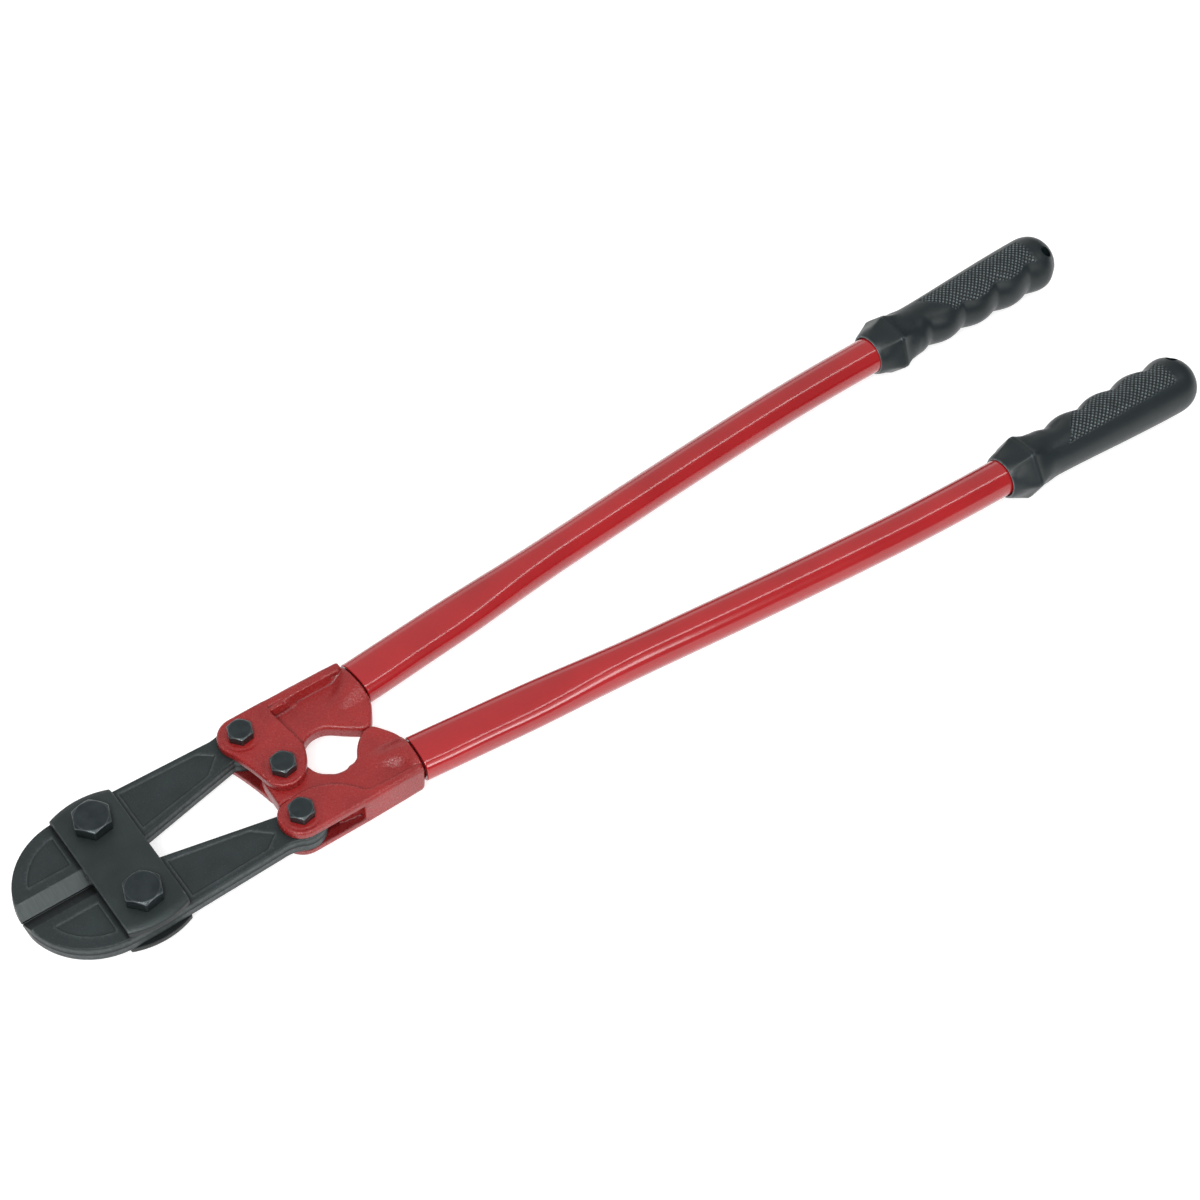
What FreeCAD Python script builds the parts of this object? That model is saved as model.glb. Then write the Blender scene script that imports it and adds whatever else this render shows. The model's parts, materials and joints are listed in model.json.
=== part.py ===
import FreeCAD, Part
import os
from math import atan2, copysign, cos, degrees, hypot, pi, radians, sin, tan
from FreeCAD import Vector

# Bolt cutters, lying flat and closed. Millimetres.
# Working frame: +X from the jaws to the grips, +Y to the upper handle, +Z up, z = 0 on the
# mid-plane of the jaws, x = 0 on the line through the two jaw bolts. Every piece is moved at the
# end, so that the finished origin lies under the middle of the tool, on the surface it rests on.

# ---- driving dimensions ----
LENGTH = 750.0              # jaw tip to grip end
NOSE_CENTRE_X = -14.5       # the round nose of the closed jaws
NOSE_R = 41.5
TIP_X = NOSE_CENTRE_X - NOSE_R
END_X = TIP_X + LENGTH

JAW_PIVOT = (0.0, 25.6)     # jaw bolt in the straps
REAR_PIVOT = (89.8, 29.9)   # rear bolt, jaw to handle
CENTRE_PIVOT = (97.5, 0.0)  # centre bolt, handle to handle

JAW_HALF = 5.35             # half thickness of the jaws
SIDE_GAP = 0.25             # between sliding faces
PLATE_TOP = 10.5            # outer faces of the straps and of the fork cheeks
CHEEK_IN = 5.7              # inner faces of the fork cheeks
TONGUE_HALF = 5.4
WEB_HALF = 5.0              # thinner web behind the cheeks
REST_Z = -18.5              # underside of the front nuts

M12_R = 6.0
M8_R = 4.0
RUNNING_GAP = 0.05          # radial clearance of a jaw on its bolt
FIXED_GAP = 0.1             # radial clearance of a clamped bolt in its plate
HEX_TURN = 10               # degrees that the hex heads and nuts are turned
CHAMFER_SHARE = 0.96        # chamfer ring radius over the hexagon's flat radius
SHANK_POINT = 0.8           # cone at the end of each shank
TOOTH_COUNT = 10
TOOTH_NOTCH_R = 0.9
THROUGH = 40.0              # beyond every face, for cuts that go right through

PART_GAP = 0.15             # each side's share of the gap between the two jaws or two heels

STRAP_HALF_X = 17.5
STRAP_R = 44.0

BLADE_LAND_Y = 8.5          # where the ground bevel starts on the jaw's face
BLADE_EDGE_HALF = 0.5       # half width of the blunt cutting edge
BLADE_END_X = -7.0
PANEL_DEPTH = 0.6           # shallow forged panels on the jaws

FORK_R = 13.0               # round of the cheeks about the rear bolt
CENTRE_R = 12.2             # round of the cheeks about the centre bolt
TONGUE_R = 12.0
JAW_END_R = 13.2            # round end of the jaw inside the fork
SLOT_R = 13.8
RELIEF_R = 17.0             # room around the centre bolt for the other head
HEAD_EDGE_Y = 43.0          # straight outer edge of the heads
SEAM_X = 160.0              # head meets tube
SEAM_GAP = 0.6
WEB_END_X = SEAM_X - 2.2    # the web runs out into the oval rear of the head
SLOT_END_X = 120.0
SPIGOT_LENGTH = 30.0
SPIGOT_GAP = 0.4            # the spigot is a loose push fit in the tube

# The centre pivot is the one left open: the tongue's hole is wide enough for the small drift of
# the bolt that constant joint ratios leave, and it is centred on that drift.
TONGUE_HOLE_R = 6.5
TONGUE_HOLE_SHIFT = (0.7, -2.0)

TUBE_R = 11.2
TUBE_WALL = 2.0
OVAL_HALF_Y = 12.9          # the tube is pressed to an oval at the head
OVAL_HALF_Z = 9.4
OVAL_POWER = 2.5
OVAL_END_X = 225.0
ROUND_FROM_X = 290.0
TUBE_Y = 29.5               # tube axis at the seam
TUBE_SLOPE = 0.093          # dy/dx of the straight run from the head
BEND_1_X = 330.0
BEND_2_X = 450.0
BEND_3_X = 530.0
MID_SLOPE = 0.072
GRIP_SLOPE = 0.018
TUBE_END_X = 660.0

GRIP_X = 546.0              # front face of the grip
GRIP_Y = 59.5
DOME_R = 17.2
DOME_Y = 62.8
COLLAR_CORNER_R = 19.8
COLLAR_X = 14.5             # widest ring of the collar, behind the front face
COLLAR_LAND = 3.0
COLLAR_FLARE = 1.6          # front lip of the collar over the tube
COLLAR_TURN = 8             # degrees that the six-sided collar is turned about the grip's axis
NECK_R = 14.7
NECK_X = 22.0               # neck, behind the widest ring
PALM_X = 62.0
PALM_R = 15.6
HEX_END_X = 8.0             # the six facets run out here, behind the widest ring
GRIP_BORE_GAP = 0.1
FINGER_PITCH = 26.5
FINGER_FIRST_X = 587.5
FINGER_COUNT = 4
FINGER_CUT_R = 16.0
FINGER_DEPTH = 1.3
HANG_BORE_R = 3.3
HANG_MOUTH_R = 3.6
HANG_BORE_HALF = 10.0
HANG_BACK = 7.7             # from the dome's centre towards the end
HANG_INWARD = 7.5           # from the dome's centre towards the other grip


# ---- geometry helpers ----
def at(point, z=0.0):
    return Vector(point[0], point[1], z)


def outline(start, *steps):
    """Closed face: each step is a point for a line, or (via, end) for an arc."""
    edges = []
    here = start
    for step in steps + (start,):
        if isinstance(step[0], tuple):
            via, there = step
            edges.append(Part.Arc(at(here), at(via), at(there)).toShape())
        else:
            there = step
            if hypot(there[0] - here[0], there[1] - here[1]) > 1e-6:
                edges.append(Part.LineSegment(at(here), at(there)).toShape())
        here = there
    return Part.Face(Part.Wire(edges))


def slab(face, low, high):
    lifted = face.copy()
    lifted.translate(Vector(0, 0, low))
    return lifted.extrude(Vector(0, 0, high - low))


def soft_slab(face, half, radius):
    """Symmetric forged slab: its upright corners and its top and bottom edges are rounded."""
    face = face.makeOffset2D(-radius).makeOffset2D(2 * radius).makeOffset2D(-radius)
    body = slab(face, -half, half)
    rims = [e for e in body.Edges if abs(abs(e.CenterOfMass.z) - half) < 1e-6]
    return body.makeFillet(radius, rims)


def disc(centre, radius, low, high):
    return Part.makeCylinder(radius, high - low, at(centre, low))


def drill(body, centre, radius):
    return body.cut(disc(centre, radius, -THROUGH, THROUGH))


def mirrored(shape):
    return shape.mirror(Vector(0, 0, 0), Vector(0, 1, 0))


def opposite(point):
    return (point[0], -point[1])


def around(centre, radius, degrees_ccw):
    angle = radians(degrees_ccw)
    return (centre[0] + radius * cos(angle), centre[1] + radius * sin(angle))


def one_solid(shape):
    """The single solid of a boolean result."""
    solids = sorted(shape.Solids, key=lambda s: s.Volume)
    return solids[-1]


# ---- fasteners ----
def hex_face(centre, flat_r):
    corner_r = flat_r / cos(pi / 6)
    corners = [around(centre, corner_r, 60 * i + HEX_TURN) for i in range(6)]
    return outline(*corners)


def chamfered_hex(centre, flat_r, low, high, chamfer_top, chamfer_bottom):
    corner_r = flat_r / cos(pi / 6)
    ring_r = CHAMFER_SHARE * flat_r
    drop = (corner_r - ring_r) * tan(radians(30))
    profile = [(0, low), (ring_r, low), (corner_r, low + drop)]
    if not chamfer_bottom:
        profile = [(0, low), (corner_r, low)]
    if chamfer_top:
        profile += [(corner_r, high - drop), (ring_r, high), (0, high)]
    else:
        profile += [(corner_r, high), (0, high)]
    points = [Vector(centre[0] + r, centre[1], z) for r, z in profile]
    lathe = Part.Face(Part.makePolygon(points + [points[0]]))
    lathe = lathe.revolve(at(centre), Vector(0, 0, 1), 360)
    return slab(hex_face(centre, flat_r), low, high).common(lathe)


def bolt(centre, radius, flat_r, head_height, end_z):
    """Hex bolt: the head stands on the upper plate, the shank ends just inside the nut."""
    head = chamfered_hex(centre, flat_r, PLATE_TOP, PLATE_TOP + head_height, True, False)
    shank = disc(centre, radius, end_z + SHANK_POINT, PLATE_TOP + 1)
    point = Part.makeCone(radius - SHANK_POINT, radius, SHANK_POINT, at(centre, end_z))
    return head.fuse([shank, point]).removeSplitter()


def nut(centre, radius, flat_r, top, height):
    body = chamfered_hex(centre, flat_r, top - height, top, True, True)
    return drill(body, centre, radius + FIXED_GAP)


def lock_washer(centre, radius, outer_r, thickness):
    """External-tooth washer under the lower plate."""
    ring = disc(centre, outer_r, -PLATE_TOP - thickness, -PLATE_TOP)
    for i in range(TOOTH_COUNT):
        ring = drill(ring, around(centre, outer_r, 360 / TOOTH_COUNT * i), TOOTH_NOTCH_R)
    return drill(ring, centre, radius + FIXED_GAP)


# ---- front: straps and jaws ----
def strap(low, high, upper):
    corner_y = (STRAP_R ** 2 - STRAP_HALF_X ** 2) ** 0.5
    face = outline((-STRAP_HALF_X, -corner_y), ((0, -STRAP_R), (STRAP_HALF_X, -corner_y)),
                   (STRAP_HALF_X, corner_y), ((0, STRAP_R), (-STRAP_HALF_X, corner_y)))
    body = slab(face, low, high)
    outer_z = high if upper else low
    rims = [e for e in body.Edges if abs(e.CenterOfMass.z - outer_z) < 1e-6]
    body = body.makeFillet(0.9, rims)
    for pivot in (JAW_PIVOT, opposite(JAW_PIVOT)):
        body = drill(body, pivot, M12_R + FIXED_GAP)
    return body


def jaw_face():
    """Upper jaw: round nose, rolling heel about the jaw bolt, tapering arm, round end."""
    heel_r = JAW_PIVOT[1] - PART_GAP
    heel_end = around(JAW_PIVOT, heel_r, -46)
    heel_mid = around(JAW_PIVOT, heel_r, -68)
    inner_join = around(REAR_PIVOT, JAW_END_R, -136)
    outer_join = around(REAR_PIVOT, JAW_END_R, 112)
    nose_start = (NOSE_CENTRE_X - (NOSE_R ** 2 - PART_GAP ** 2) ** 0.5, PART_GAP)
    return outline(nose_start, (JAW_PIVOT[0], PART_GAP), (heel_mid, heel_end), inner_join,
                   (around(REAR_PIVOT, JAW_END_R, -12), outer_join),
                   ((79.5, 39.9), (72.0, 39.4)), (0.0, NOSE_R), (NOSE_CENTRE_X, NOSE_R),
                   (around((NOSE_CENTRE_X, 0), NOSE_R, 135), nose_start))


def nose_panel():
    """Sunk panel on the nose, inside an even rim and behind the ground bevel."""
    rim_r = NOSE_R - 8.0
    centre = (NOSE_CENTRE_X, 0)
    start = (-44.0, 14.0)
    top = (-20.5, (rim_r ** 2 - 6.0 ** 2) ** 0.5)
    angle = degrees(atan2(start[1], start[0] - NOSE_CENTRE_X)) - 22
    return outline(start, (-20.5, 14.0), top, (around(centre, rim_r, angle), start))


def arm_panel():
    """Sunk panel along the arm, with a pointed rear end."""
    return outline((21.0, 12.5), (64.0, 20.8), (73.5, 29.5), (66.0, 35.4), (21.0, 36.9))


def jaw():
    body = slab(jaw_face(), -JAW_HALF, JAW_HALF)
    for side in (1, -1):
        section = [Vector(TIP_X - 5, BLADE_LAND_Y, side * JAW_HALF),
                   Vector(TIP_X - 5, 0, side * BLADE_EDGE_HALF),
                   Vector(TIP_X - 5, -1, side * BLADE_EDGE_HALF),
                   Vector(TIP_X - 5, -1, side * (JAW_HALF + 1)),
                   Vector(TIP_X - 5, BLADE_LAND_Y, side * (JAW_HALF + 1))]
        wedge = Part.Face(Part.makePolygon(section + [section[0]]))
        body = body.cut(wedge.extrude(Vector(BLADE_END_X - TIP_X + 5, 0, 0)))
        floor = side * (JAW_HALF - PANEL_DEPTH)
        top = side * (JAW_HALF + 1)
        for panel in (nose_panel(), arm_panel()):
            body = body.cut(slab(panel, min(floor, top), max(floor, top)))
    body = drill(body, JAW_PIVOT, M12_R + RUNNING_GAP)
    body = drill(body, REAR_PIVOT, M8_R + RUNNING_GAP)
    return one_solid(body)


# ---- tube axis and sections ----
def axis_point(x):
    """Centre of the tube at x, and the slope there: straight, two gentle bends, straight."""
    stretches = [(SEAM_X, BEND_1_X, TUBE_SLOPE, TUBE_SLOPE),
                 (BEND_1_X, BEND_2_X, TUBE_SLOPE, MID_SLOPE),
                 (BEND_2_X, BEND_3_X, MID_SLOPE, GRIP_SLOPE),
                 (BEND_3_X, 2 * END_X, GRIP_SLOPE, GRIP_SLOPE)]
    y = TUBE_Y
    for x0, x1, slope0, slope1 in stretches:
        run = min(x, x1) - x0
        slope = slope0 + (slope1 - slope0) * run / (x1 - x0)
        y += run * (slope0 + slope) / 2
        if x <= x1:
            break
    return y, slope


def tube_half_sizes(x):
    """Half width, half height and roundness power of the tube's section at x."""
    share = min(max((x - OVAL_END_X) / (ROUND_FROM_X - OVAL_END_X), 0.0), 1.0)
    share = share * share * (3 - 2 * share)
    return (OVAL_HALF_Y + (TUBE_R - OVAL_HALF_Y) * share,
            OVAL_HALF_Z + (TUBE_R - OVAL_HALF_Z) * share,
            OVAL_POWER + (2.0 - OVAL_POWER) * share)


def oval_section(x, half_y, half_z, power):
    """Closed smooth wire square to the tube's axis."""
    y, slope = axis_point(x)
    across = Vector(-slope, 1, 0).normalize()
    up = Vector(0, 0, 1)
    points = []
    count = 24
    for i in range(count):
        c, s = cos(2 * pi * i / count), sin(2 * pi * i / count)
        v = copysign(abs(c) ** (2 / power), c) * half_y
        w = copysign(abs(s) ** (2 / power), s) * half_z
        points.append(Vector(x, y, 0) + across * v + up * w)
    curve = Part.BSplineCurve()
    curve.interpolate(Points=points, PeriodicFlag=True)
    return Part.Wire([curve.toShape()])


def tube_section(x, inset):
    half_y, half_z, power = tube_half_sizes(x)
    return oval_section(x, half_y - inset, half_z - inset, power)


def tube_loft(stations, inset):
    return Part.makeLoft([tube_section(x, inset) for x in stations], True, False)


def handle_tube():
    stations = [SEAM_X, 190, OVAL_END_X, 246, 268, ROUND_FROM_X, BEND_1_X, 370, 410, BEND_2_X,
                475, 500, BEND_3_X, 590, TUBE_END_X]
    outer = tube_loft(stations, 0)
    inner = tube_loft(stations, TUBE_WALL)
    return one_solid(outer.cut(inner))


# ---- handle heads ----
def rear_barrel():
    """Oval rear of a head, swelling out of the web to meet the tube, and the spigot in the tube."""
    swell = [(-34.0, 11.8, 4.2), (-22.0, 12.5, 6.4), (-10.0, OVAL_HALF_Y, 8.8)]
    sections = [oval_section(SEAM_X + dx, half_y, half_z, OVAL_POWER) for dx, half_y, half_z in swell]
    barrel = Part.makeLoft(sections + [tube_section(SEAM_X - SEAM_GAP, 0)], True, False)
    spigot = tube_loft([SEAM_X - 5, SEAM_X + SPIGOT_LENGTH], TUBE_WALL + SPIGOT_GAP)
    return barrel.fuse(spigot)


def rear_web(window_mid, window_end, window_start):
    """Rear body of a head from the window's front edge to the tube, with its stop heel."""
    inner_y, outer_y = 16.8, 42.4
    return outline(window_start, (window_mid, window_end), ((139.8, 5.0), (146.5, PART_GAP)),
                   (151.5, PART_GAP), ((155.6, 5.6), (WEB_END_X, inner_y)),
                   (WEB_END_X, outer_y), (104.0, HEAD_EDGE_Y), (104.0, 24.0))


def upper_head():
    """Forked head: two cheeks carry the rear bolt and the centre bolt."""
    plate = outline(around(REAR_PIVOT, FORK_R, 90), (around(REAR_PIVOT, FORK_R, 165),
                    around(REAR_PIVOT, FORK_R, 215)),
                    ((81.9, 13.5), around(CENTRE_PIVOT, CENTRE_R, 184)),
                    (around(CENTRE_PIVOT, CENTRE_R, 262), around(CENTRE_PIVOT, CENTRE_R, 325)),
                    ((112.0, -0.5), (114.6, 8.0)), (111.5, 33.0), (112.5, HEAD_EDGE_Y))
    rim = outline((105.0, 36.8), (152.0, 35.6), ((156.5, 36.6), (157.5, 40.0)), (157.5, 42.4),
                  (105.0, HEAD_EDGE_Y))
    web = rear_web((123.5, 13.4), (133.0, 10.6), (113.2, 6.0))
    body = soft_slab(plate, PLATE_TOP, 2.0)
    body = body.fuse([soft_slab(rim, PLATE_TOP - 0.2, 2.0), soft_slab(web, WEB_HALF, 2.5), rear_barrel()])
    slot = outline((50, -30), (CENTRE_PIVOT[0], -30), (CENTRE_PIVOT[0], 0), (100.0, 16.0),
                   around(REAR_PIVOT, SLOT_R, 0), (108.0, 37.0), (SLOT_END_X, 38.5), (SLOT_END_X, 60),
                   (50, 60))
    cuts = [slab(slot, -CHEEK_IN, CHEEK_IN), disc(REAR_PIVOT, SLOT_R, -CHEEK_IN, CHEEK_IN),
            disc(CENTRE_PIVOT, RELIEF_R, -CHEEK_IN, CHEEK_IN)]
    body = body.cut(cuts)
    for pivot in (REAR_PIVOT, CENTRE_PIVOT):
        body = drill(body, pivot, M8_R + FIXED_GAP)
    return one_solid(body)


def lower_head():
    """Head with a fork at the rear bolt and a flat tongue at the centre bolt."""
    rear = opposite(REAR_PIVOT)
    plate = outline(around(rear, FORK_R, 270), (around(rear, FORK_R, 190), around(rear, FORK_R, 128)),
                    ((92.0, -17.6), (101.5, -18.0)), ((112.5, -22.3), (124.5, -34.5)), (127.5, -36.4),
                    (157.0, -37.5), (157.8, -42.4), (120.0, -HEAD_EDGE_Y))
    web = rear_web((123.4, 15.8), (134.5, 12.4), (111.5, 8.4))
    tongue = outline(around(CENTRE_PIVOT, TONGUE_R, 0), (around(CENTRE_PIVOT, TONGUE_R, 90),
                     around(CENTRE_PIVOT, TONGUE_R, 180)), (84.6, -17.5), (104.0, -26.0),
                     (118.0, -30.0), (118.0, -13.6), ((112.8, -9.6), (110.4, -3.6)))
    body = soft_slab(plate, PLATE_TOP, 2.0)
    body = body.fuse([mirrored(soft_slab(web, WEB_HALF, 2.5)), mirrored(rear_barrel())])
    for low, high in ((TONGUE_HALF, 20), (-20, -TONGUE_HALF)):
        body = body.cut(disc(CENTRE_PIVOT, RELIEF_R, low, high))
    body = body.fuse(slab(tongue, -TONGUE_HALF, TONGUE_HALF))
    slot = outline((50, -60), (SLOT_END_X, -60), (SLOT_END_X, -38.5), (108.0, -37.0),
                   around(rear, SLOT_R, 0), around(rear, SLOT_R, 90), (50, rear[1] + SLOT_R))
    body = body.cut([slab(slot, -CHEEK_IN, CHEEK_IN), disc(rear, SLOT_R, -CHEEK_IN, CHEEK_IN)])
    body = drill(body, rear, M8_R + FIXED_GAP)
    hole = (CENTRE_PIVOT[0] + TONGUE_HOLE_SHIFT[0], CENTRE_PIVOT[1] + TONGUE_HOLE_SHIFT[1])
    return one_solid(drill(body, hole, TONGUE_HOLE_R))


# ---- grips ----
def grip():
    """Rubber grip: faceted flared collar, neck, swelling palm, finger grooves, domed end."""
    dome_x = END_X - DOME_R
    run = hypot(dome_x - GRIP_X, DOME_Y - GRIP_Y)
    end = run + DOME_R
    along = Vector(1, 0, 0)
    diagonal = DOME_R * cos(pi / 4)
    points = [Vector(0, 0, 0), Vector(0, TUBE_R + COLLAR_FLARE, 0), Vector(COLLAR_X, COLLAR_CORNER_R, 0),
              Vector(COLLAR_X + COLLAR_LAND, COLLAR_CORNER_R, 0), Vector(COLLAR_X + NECK_X, NECK_R, 0),
              Vector(run - 12, DOME_R - 0.05, 0), Vector(run, DOME_R, 0), Vector(end, 0, 0)]
    edges = [Part.LineSegment(a, b).toShape() for a, b in zip(points[:3], points[1:4])]
    edges.append(Part.Arc(points[3], Vector(COLLAR_X + 9.5, 16.2, 0), points[4]).toShape())
    palm = Part.BSplineCurve()
    palm.interpolate([points[4], Vector(COLLAR_X + PALM_X, PALM_R, 0), points[5]])
    edges.append(palm.toShape())
    edges.append(Part.LineSegment(points[5], points[6]).toShape())
    edges.append(Part.Arc(points[6], Vector(run + diagonal, diagonal, 0), points[7]).toShape())
    edges.append(Part.LineSegment(points[7], points[0]).toShape())
    body = Part.Face(Part.Wire(edges)).revolve(Vector(0, 0, 0), along, 360)
    corners = []
    for i in range(7):
        angle = radians(60 * i + COLLAR_TURN)
        corners.append(Vector(0, COLLAR_CORNER_R * cos(angle), COLLAR_CORNER_R * sin(angle)))
    hexagon = Part.Face(Part.makePolygon(corners)).extrude(along * (COLLAR_X + HEX_END_X))
    rest = Part.makeCylinder(2 * DOME_R, end, Vector(COLLAR_X + HEX_END_X, 0, 0), along)
    body = body.common(hexagon.fuse(rest))
    body.rotate(Vector(0, 0, 0), Vector(0, 0, 1), degrees(atan2(DOME_Y - GRIP_Y, dome_x - GRIP_X)))
    body.translate(Vector(GRIP_X, GRIP_Y, 0))

    for i in range(FINGER_COUNT):
        x = FINGER_FIRST_X + FINGER_PITCH * i
        share = (x - GRIP_X) / (dome_x - GRIP_X)
        axis_y = GRIP_Y + (DOME_Y - GRIP_Y) * share
        side_y = axis_y - NECK_R - (DOME_R - NECK_R) * max(share - 0.3, 0)
        centre = (x, side_y + FINGER_DEPTH - FINGER_CUT_R)
        body = drill(body, centre, FINGER_CUT_R)

    bore_x = GRIP_X - 10
    bore_y, slope = axis_point(bore_x)
    bore_length = TUBE_END_X + 2 - bore_x
    direction = Vector(1, slope, 0).normalize()
    body = body.cut(Part.makeCylinder(TUBE_R + GRIP_BORE_GAP, bore_length, at((bore_x, bore_y)), direction))

    hole = (dome_x + HANG_BACK, DOME_Y - HANG_INWARD)
    body = drill(body, hole, HANG_BORE_R)
    for low, high in ((HANG_BORE_HALF, THROUGH), (-THROUGH, -HANG_BORE_HALF)):
        body = body.cut(disc(hole, HANG_MOUTH_R, low, high))
    return one_solid(body)


# ---- assembly ----
def fasteners():
    """Bolt, lock washer and nut at each of the five pivots."""
    pieces = {}
    big = dict(radius=M12_R, flat_r=9.5, head=7.5, washer_r=10.2, washer=1.0, nut=7.0)
    small = dict(radius=M8_R, flat_r=6.5, head=5.3, washer_r=7.4, washer=0.8, nut=5.0)
    sets = [("jaw", "_upper", JAW_PIVOT, big), ("jaw", "_lower", opposite(JAW_PIVOT), big),
            ("rear", "_upper", REAR_PIVOT, small), ("rear", "_lower", opposite(REAR_PIVOT), small),
            ("centre", "", CENTRE_PIVOT, small)]
    for name, side, centre, d in sets:
        seat = -PLATE_TOP - d["washer"]
        end_z = seat - d["nut"] + 0.3
        pieces[name + "_bolt" + side] = bolt(centre, d["radius"], d["flat_r"], d["head"], end_z)
        pieces[name + "_washer" + side] = lock_washer(centre, d["radius"], d["washer_r"], d["washer"])
        pieces[name + "_nut" + side] = nut(centre, d["radius"], d["flat_r"], seat, d["nut"])
    return pieces


def build():
    pieces = fasteners()
    strap_in = JAW_HALF + SIDE_GAP
    pieces["top_strap"] = strap(strap_in, PLATE_TOP, True)
    pieces["bottom_strap"] = strap(-PLATE_TOP, -strap_in, False)
    pieces["upper_jaw"] = jaw()
    pieces["lower_jaw"] = mirrored(jaw())
    pieces["upper_head"] = upper_head()
    pieces["lower_head"] = lower_head()
    pieces["upper_tube"] = handle_tube()
    pieces["lower_tube"] = mirrored(handle_tube())
    pieces["upper_grip"] = grip()
    pieces["lower_grip"] = mirrored(grip())
    return pieces


os.makedirs("parts", exist_ok=True)
to_origin = Vector(-(TIP_X + END_X) / 2, 0, -REST_Z)
for node, shape in sorted(build().items()):
    shape.translate(to_origin)
    if not shape.isValid():
        raise ValueError(node + " is not a valid solid")
    shape.exportStep("parts/" + node + ".step")
    box = shape.BoundBox
    print("%-18s volume %8.0f  x %.1f..%.1f  y %.1f..%.1f  z %.1f..%.1f" % (
        node, shape.Volume, box.XMin, box.XMax, box.YMin, box.YMax, box.ZMin, box.ZMax))
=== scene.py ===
import json
import math

import bmesh
import bpy
import numpy as np
from mathutils import Matrix, Vector
from mathutils.geometry import delaunay_2d_cdt

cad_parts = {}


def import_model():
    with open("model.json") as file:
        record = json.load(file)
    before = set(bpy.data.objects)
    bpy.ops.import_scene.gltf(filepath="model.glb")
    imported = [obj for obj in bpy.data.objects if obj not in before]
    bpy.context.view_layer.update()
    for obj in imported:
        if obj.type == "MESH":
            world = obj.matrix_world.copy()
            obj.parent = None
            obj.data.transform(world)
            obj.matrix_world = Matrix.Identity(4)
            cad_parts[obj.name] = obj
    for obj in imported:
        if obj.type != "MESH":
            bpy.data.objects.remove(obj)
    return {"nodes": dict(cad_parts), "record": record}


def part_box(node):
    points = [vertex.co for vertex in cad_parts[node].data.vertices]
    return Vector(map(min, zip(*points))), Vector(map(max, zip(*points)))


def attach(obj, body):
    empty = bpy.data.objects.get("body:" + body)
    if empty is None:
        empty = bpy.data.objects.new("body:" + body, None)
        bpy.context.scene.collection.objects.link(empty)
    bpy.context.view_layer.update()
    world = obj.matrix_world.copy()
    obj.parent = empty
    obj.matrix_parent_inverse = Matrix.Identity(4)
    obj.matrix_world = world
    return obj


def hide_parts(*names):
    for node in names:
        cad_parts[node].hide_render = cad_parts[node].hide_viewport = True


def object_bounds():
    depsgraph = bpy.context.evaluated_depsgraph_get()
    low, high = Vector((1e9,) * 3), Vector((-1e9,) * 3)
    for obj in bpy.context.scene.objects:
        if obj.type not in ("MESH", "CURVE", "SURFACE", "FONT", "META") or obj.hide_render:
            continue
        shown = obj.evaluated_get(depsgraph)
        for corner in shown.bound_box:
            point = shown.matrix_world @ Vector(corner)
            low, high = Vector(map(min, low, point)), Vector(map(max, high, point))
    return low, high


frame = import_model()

cad_low, cad_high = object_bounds()
MM = 0.001

# ------------------------------------------------------------------ places read from the frame


def centre_of(node):
    low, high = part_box(node)
    return (low + high) / 2


JAW_BOLTS = (centre_of("jaw_bolt_upper"), centre_of("jaw_bolt_lower"))
ORIGIN = np.array([JAW_BOLTS[0].x, (JAW_BOLTS[0].y + JAW_BOLTS[1].y) / 2, centre_of("upper_jaw").z])


def local(points):
    """Row frame in metres to the linkage frame in millimetres: x from the jaw bolts, z from mid-plane."""
    return (np.asarray(points, float) - ORIGIN) / MM


def world(points):
    return np.asarray(points, float) * MM + ORIGIN


def local_box(node):
    low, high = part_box(node)
    return local(low), local(high)


PLATE_TOP = local_box("top_strap")[1][2]
JAW_HALF = local_box("upper_jaw")[1][2]
REAR = local(centre_of("rear_bolt_upper"))[:2]
CENTRE = local(centre_of("centre_bolt"))[:2]
TIP_X = local_box("upper_jaw")[0][0]
SEAM_X = local_box("upper_tube")[0][0] + 1.2
TUBE_AT_SEAM = 29.5
TUBE_SLOPE = 0.093

# ------------------------------------------------------------------ numeric helpers


def smooth(t):
    t = np.clip(t, 0.0, 1.0)
    return t * t * (3 - 2 * t)


def rounding(distance, radius):
    """How far a rounded edge drops, at a distance inside the edge."""
    left = np.clip(radius - distance, 0.0, radius)
    return radius - np.sqrt(radius * radius - left * left)


def soft_min(a, b, width):
    return 0.5 * (a + b - np.sqrt((a - b) ** 2 + width * width))


def resample(loop, spacing):
    """Even points along a closed loop."""
    closed = np.vstack([loop, loop[:1]])
    steps = np.linalg.norm(np.diff(closed, axis=0), axis=1)
    run = np.concatenate([[0], np.cumsum(steps)])
    count = max(12, int(round(run[-1] / spacing)))
    at = np.linspace(0, run[-1], count, endpoint=False)
    return np.column_stack([np.interp(at, run, closed[:, k]) for k in range(loop.shape[1])])


def inward_normals(loop):
    """Unit normals of a counter-clockwise loop, pointing into it."""
    along = np.roll(loop, -1, axis=0) - np.roll(loop, 1, axis=0)
    normals = np.column_stack([-along[:, 1], along[:, 0]])
    return normals / np.linalg.norm(normals, axis=1)[:, None]


def signed_area(loop):
    x, y = loop[:, 0], loop[:, 1]
    return 0.5 * np.sum(x * np.roll(y, -1) - np.roll(x, -1) * y)


def distance_to(points, loop):
    """Distance of each point to a closed loop."""
    nearest = np.full(len(points), 1e9)
    for a, b in zip(loop, np.roll(loop, -1, axis=0)):
        d = b - a
        t = np.clip(((points - a) @ d) / max(d @ d, 1e-12), 0, 1)
        nearest = np.minimum(nearest, np.linalg.norm(points - (a + t[:, None] * d), axis=1))
    return nearest


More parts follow.
